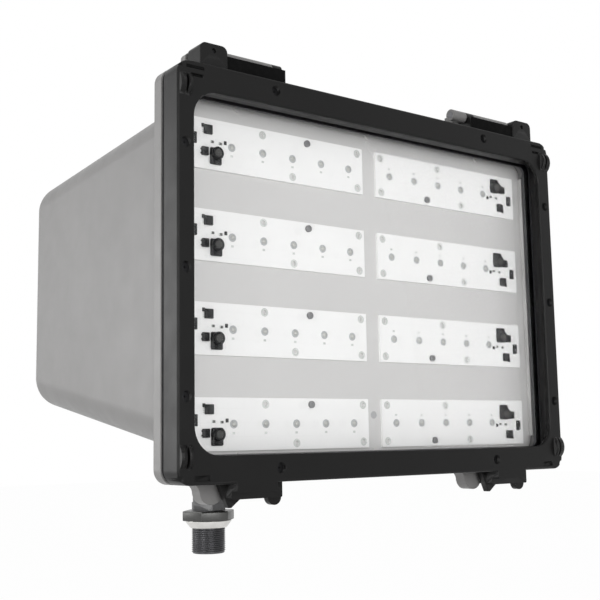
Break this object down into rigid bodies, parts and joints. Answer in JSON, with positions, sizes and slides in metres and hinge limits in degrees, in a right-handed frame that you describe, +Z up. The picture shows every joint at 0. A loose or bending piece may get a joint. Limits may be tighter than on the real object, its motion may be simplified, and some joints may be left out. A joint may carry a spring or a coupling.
{
  "type": "led flood light",
  "caption": "Rectangular flood light with a hinged glass door, boards of light emitting diodes in a deep cast housing, and a threaded swivel knuckle to aim it.",
  "frame": {"origin": "on the axis of the knuckle's nipple, where its full thread starts, 1.4 mm above its lower end", "axes": "+X to the right as seen from the front of the lens, +Y to the back of the housing, +Z up along the nipple, with the lamp aimed level"},
  "size_m": [0.334, 0.2657, 0.3356],
  "materials": {
    "black_coat": "matt black powder coat on a die casting",
    "grey_coat": "fine textured grey powder coat on a die casting",
    "knuckle_coat": "dark powder coat on a casting",
    "zinc": "bright zinc plate",
    "steel": "plain stainless steel",
    "bronze": "plain bronze",
    "gasket": "silicone rubber",
    "plate_metal": "satin",
    "board_white": "white solder mask",
    "emitter_lens": "clear silicone dome over phosphor",
    "component_black": "moulded black epoxy",
    "electric_plastic": "moulded plastic",
    "lead_cover": "wire insulation",
    "clear_glass": "clear tempered glass"
  },
  "bodies": {
    "arm": {"knuckle_arm": "knuckle_coat", "swivel_ring": "bronze", "pivot_bolt": "steel", "pivot_washer": "zinc", "pivot_nut": "zinc"},
    "locknut": {"conduit_locknut": "zinc"},
    "door": {"door_frame": "black_coat", "lens_gasket": "gasket", "lens_glass": "clear_glass", "lens_clamp": "plate_metal", "door_screws": "steel", "door_gasket": "gasket", "hinge_pin_left": "steel", "hinge_pin_right": "steel", "hinge_set_screws": "steel"},
    "latch_left": {"latch_bolt_left": "steel", "latch_washer_left": "steel"},
    "latch_right": {"latch_bolt_right": "steel", "latch_washer_right": "steel"},
    "head": {"housing_shell": "grey_coat", "knuckle_yoke": "knuckle_coat", "yoke_screws": "steel", "plate_screws": "steel", "board_screws": "steel", "ground_screw": "steel", "yoke_gasket": "gasket", "wire_bushing": "gasket", "gear_plate": "plate_metal", "heat_sink_left": "plate_metal", "heat_sink_right": "plate_metal", "led_board_left_1": "board_white", "led_board_left_2": "board_white", "led_board_left_3": "board_white", "led_board_left_4": "board_white", "led_board_right_1": "board_white", "led_board_right_2": "board_white", "led_board_right_3": "board_white", "led_board_right_4": "board_white", "led_emitters": "emitter_lens", "board_drivers": "component_black", "board_capacitors": "component_black", "board_rectifiers": "component_black", "board_resistors": "component_black", "terminal_block": "electric_plastic", "surge_protector": "electric_plastic", "supply_leads": "lead_cover"}
  },
  "joints": [
    {"name": "aim", "type": "hinge", "parent": "arm", "child": "head", "pos_m": [0, 0, 0.0647], "axis": [-1, 0, 0], "range_deg": [-60, 90]},
    {"name": "door_swing", "type": "hinge", "parent": "head", "child": "door", "pos_m": [0, -0.2296, 0.3299], "axis": [-1, 0, 0], "range_deg": [0, 100]},
    {"name": "latch_left_draw", "type": "slide", "parent": "head", "child": "latch_left", "axis": [0, 1, 0], "range_m": [0, 0.01]},
    {"name": "latch_right_draw", "type": "slide", "parent": "head", "child": "latch_right", "axis": [0, 1, 0], "range_m": [0, 0.01]},
    {"name": "locknut_travel", "type": "slide", "parent": "arm", "child": "locknut", "axis": [0, 0, -1], "range_m": [0, 0.012]}
  ]
}
